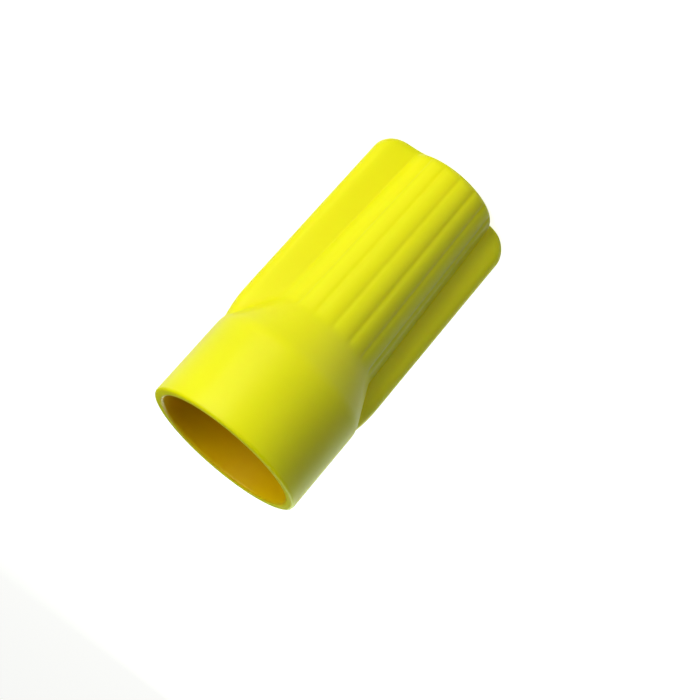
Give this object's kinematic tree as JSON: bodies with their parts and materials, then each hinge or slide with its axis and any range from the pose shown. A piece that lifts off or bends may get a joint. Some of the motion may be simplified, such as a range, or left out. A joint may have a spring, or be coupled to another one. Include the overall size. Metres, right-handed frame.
{
  "type": "winged twist-on wire connector",
  "caption": "Winged twist-on wire connector: a closed, fluted plastic shell with a round skirt, over a tapered coil of square steel wire.",
  "frame": {"origin": "centre of the closed end's outer face", "axes": "+Z along the axis, from the closed end to the open mouth; the two wings point along +X and -X"},
  "size_m": [0.014, 0.0136, 0.0278],
  "materials": {
    "shell": "injection-moulded yellow thermoplastic, semi-gloss",
    "spring": "zinc-plated square spring wire"
  },
  "bodies": {
    "root": {"shell": "shell", "spring": "spring"}
  },
  "joints": []
}
